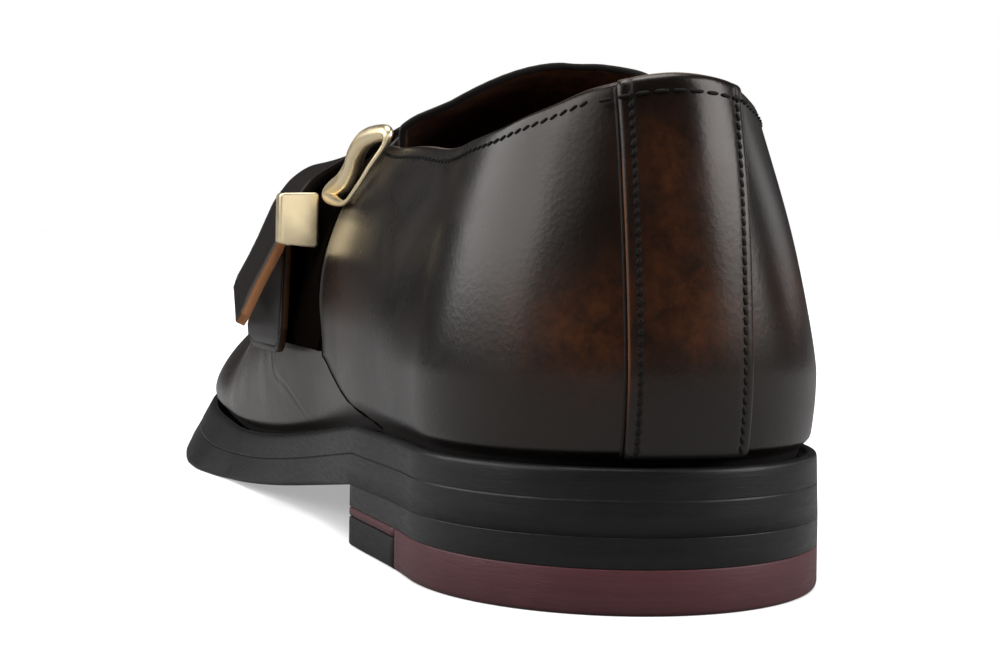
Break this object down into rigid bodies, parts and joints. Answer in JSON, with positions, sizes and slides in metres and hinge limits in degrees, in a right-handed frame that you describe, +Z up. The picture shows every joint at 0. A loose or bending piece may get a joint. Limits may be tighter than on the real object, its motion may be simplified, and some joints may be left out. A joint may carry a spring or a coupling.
{
  "type": "monk-strap shoe",
  "caption": "Left low leather shoe with a strap over the instep, a gold buckle on the outer side, a welted dark sole and a low heel.",
  "frame": {"origin": "middle of the shoe's footprint, on the ground under the sole", "axes": "+Y from heel to toe, +Z up, +X towards the inner side of the foot"},
  "size_m": [0.0968, 0.2984, 0.0867],
  "materials": {
    "burnished_leather": "polished, burnished dark brown",
    "dark_leather": "polished, near black, tan cut edges",
    "brown_lining": "matt",
    "black_sole": "satin, dyed black",
    "burgundy_lift": "satin",
    "black_insert": "satin",
    "gold_metal": "polished pale gold"
  },
  "bodies": {
    "root": {"outsole": "black_sole", "midsole": "black_sole", "heel_block": "black_sole", "heel_lift": "burgundy_lift", "heel_lift_insert": "black_insert", "insole": "brown_lining", "upper": "burnished_leather", "back_stay": "burnished_leather", "tongue": "dark_leather", "side_tab": "dark_leather", "buckle_tab": "dark_leather", "strap": "dark_leather", "buckle_bar": "gold_metal", "buckle_link": "gold_metal"}
  },
  "joints": []
}
